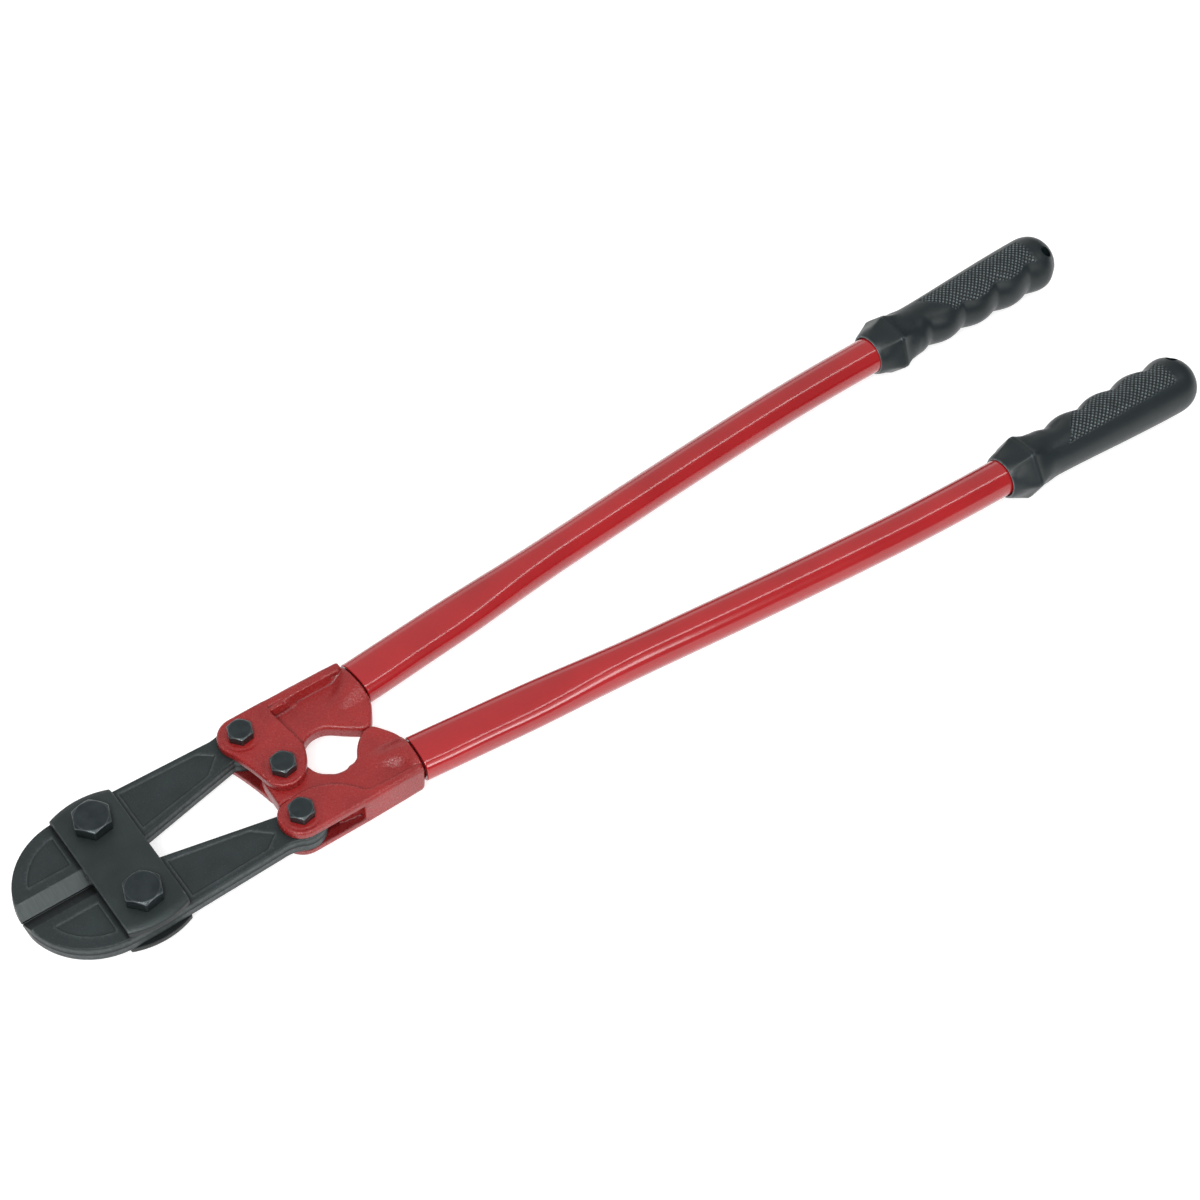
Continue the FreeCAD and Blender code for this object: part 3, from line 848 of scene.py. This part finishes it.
WEB_HALF = 4.7          # half thickness of the sunken web
TONGUE_HALF = 5.35
CHEEK_IN = 5.7          # inner faces of the fork cheeks
PLATE_ROUND = 1.7
OVAL_HALF_Z = 9.4       # the tube's oval, which the head swells to
HEAD_EDGE_Y = 42.45     # straight outer edge
HEAD_VOXEL = 0.45


def joined_blank(skins):
    """One mesh of overlapping closed skins."""
    points, faces, start = [], [], 0
    for p, f in skins:
        points.append(p)
        faces += [tuple(i + start for i in face) for face in f]
        start += len(p)
    mesh = bpy.data.meshes.new("blank")
    mesh.from_pydata([tuple(p) for p in world(np.vstack(points))], [], faces)
    face_outward(mesh)
    return mesh


def melted(mesh, voxel, rounds):
    """Points and faces of a blank after its parts flow into one soft skin, as in a forging."""
    blank = bpy.data.objects.new("blank", mesh)
    bpy.context.scene.collection.objects.link(blank)
    remesh = blank.modifiers.new("remesh", "REMESH")
    remesh.mode = "VOXEL"
    remesh.voxel_size = voxel * MM
    melt = blank.modifiers.new("melt", "SMOOTH")
    melt.factor = 0.5
    melt.iterations = rounds
    bpy.context.view_layer.update()
    done = bpy.data.meshes.new_from_object(blank.evaluated_get(bpy.context.evaluated_depsgraph_get()))
    bpy.data.objects.remove(blank)
    points = np.zeros(3 * len(done.vertices))
    done.vertices.foreach_get("co", points)
    return local(points.reshape(-1, 3)), [tuple(p.vertices) for p in done.polygons]


def axis_y(x, sign):
    """Centre line of the tube at the head."""
    return sign * (TUBE_AT_SEAM + TUBE_SLOPE * (x - SEAM_X))


def swelling(spots, sign):
    """Half thickness of a head behind its plates: a sunken web that swells into the oval at the tube,
    sooner beside the window than under the outer rail."""
    x = spots[:, 0]
    v = np.abs(spots[:, 1] - axis_y(x, sign))
    oval = OVAL_HALF_Z * np.sqrt(np.clip(1 - (v / 14.0) ** 2.4, 0, 1)) - WEB_HALF
    start = SEAM_X - 27 + 14 * smooth((np.abs(spots[:, 1]) - 20) / 13)
    grow = smooth((x - start) / (SEAM_X - 2.5 - start))
    return WEB_HALF + 0.5 * (oval + np.sqrt(oval ** 2 + 2.5)) * grow


def rear_end(y):
    """Where a head stops before the tube: square to the tube, its outer corner rounded."""
    out = np.abs(y)
    corner = rounding(np.clip(HEAD_EDGE_Y - out, 0, 2.2), 2.2)
    return SEAM_X - 0.75 - TUBE_SLOPE * (out - TUBE_AT_SEAM) - corner


def back_outline(loop):
    """Plan outline of a head from its CAD section, without the spigot and faired into the tube's end."""
    loop = loop[loop[:, 0] < rear_end(loop[:, 1]) - 0.2]
    gap = np.argmax(np.linalg.norm(np.roll(loop, -1, axis=0) - loop, axis=1) * (loop[:, 0] > SEAM_X - 6))
    loop = resample(np.roll(loop, -gap - 1, axis=0), 0.7)
    out = np.abs(loop[:, 1])
    heel = smooth((loop[:, 0] - SEAM_X + 19) / 10) * (out < 17.5)
    loop[:, 0] += 2.6 * smooth((out - 4) / 12.8) * heel
    at_end = (loop[:, 0] > rear_end(loop[:, 1]) - 2.6) & (out > 15.5)
    loop[:, 0] = np.where(at_end, rear_end(loop[:, 1]), np.minimum(loop[:, 0], rear_end(loop[:, 1])))
    for _ in range(3):
        loop = 0.5 * loop + 0.25 * (np.roll(loop, 1, axis=0) + np.roll(loop, -1, axis=0))
    return loop


def spigot_skin(sign):
    """Oval spigot that plugs into the tube."""
    turns = np.linspace(0, 2 * math.pi, 64, endpoint=False)
    c, s = np.cos(turns), np.sin(turns)
    rings = []
    for x, shrink in ((SEAM_X - 5, 0), (SEAM_X + 2, 0), (SEAM_X + 18, 0), (SEAM_X + 19.5, 1.2)):
        v = np.sign(c) * np.abs(c) ** 0.77 * (10.4 - shrink)
        w = np.sign(s) * np.abs(s) ** 0.77 * (6.9 - shrink)
        rings.append(np.column_stack([x - TUBE_SLOPE * v, sign * (sign * axis_y(x, sign) + v), w]))
    return grid_solid(rings)


def make_head(node, body, rail):
    """A forged head: two cheeks, web and spigot melted into one skin.

    rail gives the height of the raised outer rail from (points, side)."""
    sign = 1 if centre_of(node).y > ORIGIN[1] else -1
    cheek_z = 0.5 * (OVAL_HALF_Z + PLATE_TOP) - 0.3
    plans = plan_loops(node, cheek_z)
    cheeks = max(plans, key=lambda l: abs(signed_area(l)))
    holes = [l for l in plans if l is not cheeks and abs(signed_area(l)) < 100 and np.ptp(l[:, 0]) < 10
             and is_inside(l.mean(axis=0)[None], cheeks)[0]]

    middle = plan_loops(node, 0.0)
    back = back_outline(middle[0])
    back_holes = [l for l in middle[1:]
                  if np.ptp(l[:, 0]) < 16 and is_inside(l.mean(axis=0)[None], back)[0]]

    def back_top(spots, edge, hole):
        z = swelling(spots, sign)
        z = z + (TONGUE_HALF - z) * (1 - smooth((spots[:, 0] - CENTRE[0] - 8) / 7))
        z = np.maximum(z, rail(spots, sign))
        from_end = rear_end(spots[:, 1]) - spots[:, 0]
        out = np.abs(spots[:, 1])
        near_end = smooth((4.5 - from_end) / 3.5) * smooth((out - 14.5) / 4) * smooth((42.6 - out) / 2.5)
        return z - rounding(edge + 3 * near_end, 2.2) - rounding(np.maximum(from_end, 0), 0.8)

    end_rows = []
    for step in (0.15, 0.4, 0.9, 1.6, 2.4):
        ys = np.arange(16, 43, 0.7)
        end_rows.append(np.column_stack([rear_end(ys) - step, sign * ys]))
    rear_skin = plate_skin(back, back_holes, end_rows, back_top, lambda *a: -back_top(*a))

    def cheek_top(spots, edge, hole):
        return PLATE_TOP - rounding(edge, PLATE_ROUND)

    skins = [rear_skin, spigot_skin(sign)]
    for way in (1, -1):
        outer = lambda *a: way * cheek_top(*a)
        inner = lambda spots, edge, hole: np.full(len(spots), way * CHEEK_IN)
        top, bottom = (outer, inner) if way > 0 else (inner, outer)
        skins.append(plate_skin(cheeks, holes, [], top, bottom))
    mesh = joined_blank(skins)
    points, faces = melted(mesh, HEAD_VOXEL, 2)
    points = finish_head(points, sign)
    x, y, z = points.T
    # Painted shade: the end face and spigot in the gap before the tube, and the inner faces of the fork slot,
    # set dark.
    behind = x > rear_end(y) - 0.3
    near_centre = np.hypot(x - CENTRE[0], y - CENTRE[1]) <= 13
    in_slot = (np.abs(z) > 5.45) & (np.abs(z) < 6.2) & (x < SEAM_X - 38) & ~near_centre
    shade = np.where(behind, -0.95, np.where(in_slot, -0.75, 0.0))
    new_object(node + "_forging", points, faces, body, [HEAD_RED], [node], shade)


def finish_head(points, sign):
    """Faint rings round the bolts, turned for the heads to bear on."""
    points = points.copy()
    outer = np.abs(points[:, 2]) > PLATE_TOP - 0.6
    bosses = [REAR * [1, sign]] + ([CENTRE] if sign > 0 else [])
    for centre in bosses:
        d = np.hypot(points[:, 0] - centre[0], points[:, 1] - centre[1])
        dip = 0.28 * np.exp(-((d - 10.0) / 0.8) ** 2)
        points[:, 2] -= np.sign(points[:, 2]) * dip * outer
    return points


def upper_rail(spots, sign):
    """Outer rail of the upper head, straight from the plate to the tube, its inner wall sloping more
    towards the rear."""
    x, y = spots[:, 0], spots[:, 1] * sign
    back = np.clip(x - 115, 0, 40)
    across = smooth((y - 33.5 - 0.03 * back) / (1.0 + 0.045 * back))
    along = (1 - 0.13 * smooth((x - 148) / 10)) * (1 - smooth((x - 156.2) / 2.6))
    return across * along * (PLATE_TOP - 0.2)


def lower_rail(spots, sign):
    """Outer rail of the lower head: it runs on from the plate to the tube."""
    x, y = spots[:, 0], spots[:, 1] * sign
    across = smooth((y - 35.4 - 1.6 * smooth((x - 124) / 30)) / 1.6)
    along = (1 - 0.13 * smooth((x - 146) / 12)) * (1 - smooth((x - 156.8) / 2.0))
    return across * along * (PLATE_TOP - 0.2)


# ------------------------------------------------------------------ tubes


TUBE_WALL = 2.0


def tube_stations(node):
    """Centre and half sizes of the CAD tube at stations along x, read from its sections."""
    low, high = local_box(node)
    stations = []
    for x in np.concatenate([np.linspace(low[0] + 3, 300, 14), np.linspace(312, high[0] - 0.5, 24)]):
        loop = slice_node(node, (x, 0, 0), (1, 0, 0))[0]
        top, bottom = loop.max(axis=0), loop.min(axis=0)
        stations.append((x, (top[1] + bottom[1]) / 2, (top[1] - bottom[1]) / 2, (top[2] - bottom[2]) / 2))
    return np.array(stations)


def make_tube(node, body):
    """The drawn tube, from its oval front end to its round end in the grip."""
    back = local_box(node)[1][0] - 1.5
    table = tube_stations(node)
    turns = np.linspace(0, 2 * math.pi, 96, endpoint=False)
    slopes = np.gradient(table[:, 1], table[:, 0])
    slope_0 = slopes[0]

    def section(x, inset):
        y = np.interp(x, table[:, 0], table[:, 1])
        if x < table[0, 0]:
            y = table[0, 1] + slope_0 * (x - table[0, 0])
        slope = np.interp(x, table[:, 0], slopes)
        half_y = np.interp(x, table[:, 0], table[:, 2]) / math.sqrt(1 + slope * slope)
        half_z = np.interp(x, table[:, 0], table[:, 3])
        power = 2.0 + 0.6 * (1 - smooth((x - 190) / 120))
        c, s = np.cos(turns), np.sin(turns)
        v = np.sign(c) * np.abs(c) ** (2 / power) * (half_y - inset)
        w = np.sign(s) * np.abs(s) ** (2 / power) * (half_z - inset)
        across = np.array([-slope, 1.0]) / math.hypot(slope, 1)
        return np.column_stack([x + across[0] * v, y + across[1] * v, w])

    front = SEAM_X + 0.3
    xs = np.concatenate([[front + 0.3, front + 0.8], np.arange(front + 4, back - 4, 6.0), [back]])
    rings = [section(front, 0.25)] + [section(x, 0.0) for x in xs] + [section(back + 0.2, 0.3)]
    rings += [section(x, TUBE_WALL) for x in np.append(xs[::-6], front)]
    points, faces = ring_solid(rings)
    new_object(node + "_drawn", points, faces, body, [TUBE_RED], [node])


# ------------------------------------------------------------------ grips

GRIP_X, GRIP_Y = 546.0, 59.5    # middle of the grip's front end
GRIP_BORE_R = 11.3
MOUTH_R = 12.2
COLLAR_X = 14.5                 # along the grip
COLLAR_LAND = 2.2
COLLAR_R = 19.8
NECK_X = 36.5
NECK_R = 14.7
DOME_Y = 62.8
DOME_R = 17.2
BOX_MARGIN = 0.04               # with BOX_SHRINK, keeps the skin inside the CAD model's box
BOX_SHRINK = 0.998
FINGER_START = 41.5
FINGER_PITCH = 26.5
FINGER_WAVE = 3.5
FINGER_CUT = 2.3
KNURL_FROM, KNURL_TO = 50.0, 128.0
KNURL_PITCH = 2.15
HANG_R = 3.5
HANG_BACK = 7.7
HANG_INWARD = 7.5


def grip_radius(u, length):
    """Radius of the grip along its axis before facets, fingers and knurling."""
    land_end = COLLAR_X + COLLAR_LAND
    flare = np.interp(u, [0, 1.2, COLLAR_X, land_end], [MOUTH_R, MOUTH_R + 1.0, COLLAR_R, COLLAR_R])
    t = np.clip((u - COLLAR_X - COLLAR_LAND) / (NECK_X - COLLAR_X - COLLAR_LAND), 0, 1)
    neck = COLLAR_R - (COLLAR_R - NECK_R) * (1 - (1 - t) ** 2.2)
    palm = NECK_R + (DOME_R - NECK_R) * smooth((u - NECK_X) / (length - DOME_R - NECK_X)) ** 0.8
    body = np.where(u < land_end, flare, np.where(u < NECK_X, neck, palm))
    end = np.clip((u - (length - DOME_R)) / DOME_R, 0, 1)
    return np.where(u > length - DOME_R, DOME_R * np.clip(1 - end ** 2.4, 0, 1) ** (1 / 2.4), body)


def grip_stations(length):
    """Distances along the grip, close together at its edges and over the knurl."""
    land_end = COLLAR_X + COLLAR_LAND
    return np.concatenate([
        [0.0, 0.35, 0.9], np.arange(1.8, COLLAR_X - 0.4, 1.2),
        [COLLAR_X - 0.5, COLLAR_X - 0.15, COLLAR_X + 0.2],
        [COLLAR_X + COLLAR_LAND * 0.5, land_end - 0.2, land_end + 0.3],
        np.arange(land_end + 1.2, KNURL_FROM - 1, 1.1),
        np.arange(KNURL_FROM, KNURL_TO, 0.42), np.arange(KNURL_TO + 1, length - 4, 0.9),
        length - 4 * (1 - np.linspace(0.15, 0.97, 10)) ** 1.6])


def make_grip(node, body):
    """A moulded grip: faceted collar, neck, finger grooves on the inner side, knurl and domed end."""
    high = local_box(node)[1]
    sign = 1 if high[1] > 0 else -1
    dome_x = high[0] - BOX_MARGIN - DOME_R
    axis = np.array([dome_x - GRIP_X, DOME_Y - GRIP_Y])
    run = float(np.hypot(*axis))
    axis = axis / run
    length = run + DOME_R
    across = np.array([-axis[1], axis[0]])

    fine = np.radians(np.arange(48, 146, 1.35))
    coarse_a = np.radians(np.arange(-30, 48, 3.0))
    coarse_b = np.radians(np.arange(146, 210, 3.0))
    under = np.radians(np.arange(210, 326, 1.35))
    turns = np.concatenate([coarse_a, fine, coarse_b, under])
    turns = np.unique(np.round(turns, 6))
    turns = turns[turns < math.radians(329.5)]

    hex_turn = math.radians(8)
    sides = np.array([np.cos(turns - hex_turn - math.radians(30 + 60 * k)) for k in range(6)])
    hexed = math.cos(math.pi / 6) / (np.log(np.sum(np.exp(34 * sides), axis=0)) / 34)
    inner_side = np.clip(-np.cos(turns), 0, 1)
    finger_x = GRIP_X + FINGER_START + FINGER_PITCH * np.arange(4)
    rings = []
    raised = []
    for u in grip_stations(length):
        r = np.full(len(turns), BOX_SHRINK * float(grip_radius(np.array(u), length)))
        facet = smooth(u / COLLAR_X * 1.15) * (1 - smooth((u - COLLAR_X - COLLAR_LAND) / 13.0))
        r = r * (1 + facet * (hexed - 1))
        x = GRIP_X + axis[0] * u
        lobes = math.sqrt(math.sin(math.pi * (x - finger_x[0]) / FINGER_PITCH) ** 2 + 0.02) - 0.09
        ease = smooth((u - 31) / 8) * (1 - smooth((x - finger_x[-1] - 0.62 * FINGER_PITCH) / 7))
        r = r + (FINGER_WAVE * lobes - FINGER_CUT) * inner_side ** 1.2 * ease
        # point is the knurl's tone: a painted highlight on its tips and painted shade in its valleys.
        cut, point = knurl(u, turns, r, finger_x - GRIP_X)
        r = r - cut
        raised.append(point)
        ring = np.column_stack([np.full(len(turns), u), r * np.cos(turns), r * np.sin(turns)])
        rings.append(ring)
    tail = []
    for u in (0.0, 0.4, 60.0, 118.0):
        r = GRIP_BORE_R + (0.5 if u < 0.2 else 0.0)
        tail.append(np.column_stack([np.full(len(turns), u), r * np.cos(turns), r * np.sin(turns)]))
    points, faces = grid_solid(tail[::-1] + rings)
    placed = front_point(points, axis, across, sign)
    raised = np.concatenate([np.zeros(len(turns) * len(tail))] + raised + [np.zeros(2)])
    hole = (dome_x + HANG_BACK, sign * (DOME_Y - HANG_INWARD))
    obj = new_object(node + "_moulded", placed, faces, body, [RUBBER], [node], raised)
    bore_hole(obj, hole)


def bore_hole(obj, hole):
    """Hanging hole straight through the grip's end."""
    turns = np.linspace(0, 2 * math.pi, 64, endpoint=False)
    rings = []
    for z in (-20.0, 20.0):
        rings.append(np.column_stack([hole[0] + HANG_R * np.cos(turns), hole[1] + HANG_R * np.sin(turns),
                                      np.full(64, z)]))
    points, faces = grid_solid(rings)
    mesh = bpy.data.meshes.new("cutter")
    mesh.from_pydata([tuple(p) for p in world(points)], [], faces)
    face_outward(mesh)
    cutter = bpy.data.objects.new("cutter", mesh)
    bpy.context.scene.collection.objects.link(cutter)
    cut = obj.modifiers.new("hole", "BOOLEAN")
    cut.operation = "DIFFERENCE"
    cut.object = cutter
    cut.solver = "EXACT"
    bpy.context.view_layer.update()
    done = bpy.data.meshes.new_from_object(obj.evaluated_get(bpy.context.evaluated_depsgraph_get()))
    obj.modifiers.clear()
    old = obj.data
    obj.data = done
    bpy.data.meshes.remove(old)
    bpy.data.objects.remove(cutter)
    done.set_sharp_from_angle(angle=math.radians(50))


def front_point(points, axis, across, sign):
    """From the grip's own (along, outward, up) to the linkage frame."""
    xy = np.array([GRIP_X, GRIP_Y]) + points[:, :1] * axis + points[:, 1:2] * across
    return np.column_stack([xy[:, 0], sign * xy[:, 1], points[:, 2]])


def knurl(u, turns, r, fingers):
    """Depth of the moulded diamond knurl, on the top and the underside, along one ring, and its tone: tips
    painted paler as highlight, valleys painted darker as shade.
    """
    arc = r * np.arcsin(np.clip(np.cos(turns), -1, 1)) * np.sign(np.sin(turns) + 1e-9)
    reach_out = 9.0
    wave = min(abs(u - f) for f in fingers)
    reach_in = 8.6 + 3.2 * smooth(np.array(wave / 10.0))
    side = r * np.cos(turns)
    mask = smooth((reach_out - side) / 1.0) * smooth((side + reach_in) / 1.0)
    slant = 0.9 * side
    mask = mask * smooth((u + slant - KNURL_FROM - 1) / 1.2) * smooth((KNURL_TO - u) / 1.2)
    a = np.abs(np.sin(math.pi * (u + arc) / (KNURL_PITCH * 1.414)))
    b = np.abs(np.sin(math.pi * (u - arc) / (KNURL_PITCH * 1.414)))
    bead = np.clip(a * b, 0, 1) ** 0.8
    return mask * (0.8 * (1 - bead) - 0.15), mask * (smooth((bead - 0.5) / 0.4) - smooth((0.5 - bead) / 0.3))


# ------------------------------------------------------------------ build everything

for jaw in ("upper_jaw", "lower_jaw"):
    make_jaw(jaw)
for strap in ("top_strap", "bottom_strap"):
    make_strap(strap)
make_head("upper_head", "upper_handle", upper_rail)
make_head("lower_head", "lower_handle", lower_rail)
for side in ("upper", "lower"):
    make_tube(side + "_tube", side + "_handle")
    make_grip(side + "_grip", side + "_handle")

bodies_of = frame["record"]["behaviour"]["bodies"]
for body, members in bodies_of.items():
    for node in members:
        if "_bolt" in node:
            make_bolt(node, body)
        elif "_nut" in node:
            make_nut(node, body)
        elif "_washer" in node:
            make_washer(node, body)

# ------------------------------------------------------------------ stage, light, camera


def soft_light(name, place, target, width, height, power):
    data = bpy.data.lights.new(name, "AREA")
    data.shape = "RECTANGLE"
    data.size, data.size_y = width, height
    data.energy = power
    lamp = bpy.data.objects.new(name, data)
    lamp.location = place
    lamp.rotation_mode = "QUATERNION"
    lamp.rotation_quaternion = (Vector(target) - Vector(place)).to_track_quat("-Z", "Y")
    bpy.context.scene.collection.objects.link(lamp)


def make_stage():
    """Pale floor and soft lights. The strip's direction was worked out from the streaks on the tubes in
    the photo; the other places and all the powers were tuned."""
    bpy.ops.mesh.primitive_plane_add(size=9.0, location=(0, 0, cad_low.z))
    floor = bpy.context.object
    floor.name = "floor"
    n = Nodes("floor_paper")
    tone = n.ramp(n.noise(3, 2), (0.3, (0.50, 0.50, 0.50)), (0.7, (0.52, 0.52, 0.52)))
    floor.data.materials.append(n.finish(Base_Color=tone, Roughness=0.9, Emission_Color=(1, 1, 1),
                                         Emission_Strength=0.72))

    studio = bpy.data.worlds.new("studio")
    bpy.context.scene.world = studio
    studio.use_nodes = True
    background = studio.node_tree.nodes["Background"]
    background.inputs["Color"].default_value = (0.96, 0.98, 1.0, 1)
    background.inputs["Strength"].default_value = 0.22
    soft_light("ceiling", (0.35, 0.70, 1.75), (0.35, 0.1, 0), 4.0, 3.0, 16)
    soft_light("back_wall", (0.35, 2.3, 0.85), (0.2, 0, 0), 4.0, 0.9, 11)
    soft_light("overhead_strip", (0.30, -0.82, 1.95), (0.3, 0, 0), 3.4, 0.16, 14)
    soft_light("above_camera", (-0.95, -0.85, 1.5), (0, 0, 0), 0.5, 0.4, 21)
    soft_light("side", (0.33, -1.8, 1.08), (0, 0, 0), 0.55, 0.5, 7)
    soft_light("side_fill", (0.35, -1.6, 1.55), (0, 0, 0), 0.6, 0.7, 1.5)


def make_camera():
    """The camera that was fitted to the photo, a fit that is known only loosely."""
    data = bpy.data.cameras.new("camera")
    data.lens = 75.69
    data.sensor_width = 36.0
    data.clip_start = 0.05
    data.clip_end = 20.0
    camera = bpy.data.objects.new("camera", data)
    right = Vector((0.80518, -0.59210, 0.03322))
    up = Vector((0.44998, 0.64648, 0.61610))
    back = Vector((-0.38626, -0.48113, 0.78697))
    pose = Matrix((right, up, back)).transposed().to_4x4()
    pose.translation = Vector((-0.5560, -0.6713, 1.1180))
    camera.matrix_world = pose
    bpy.context.scene.collection.objects.link(camera)
    bpy.context.scene.camera = camera


make_stage()
make_camera()
bpy.context.scene.view_settings.view_transform = "Standard"
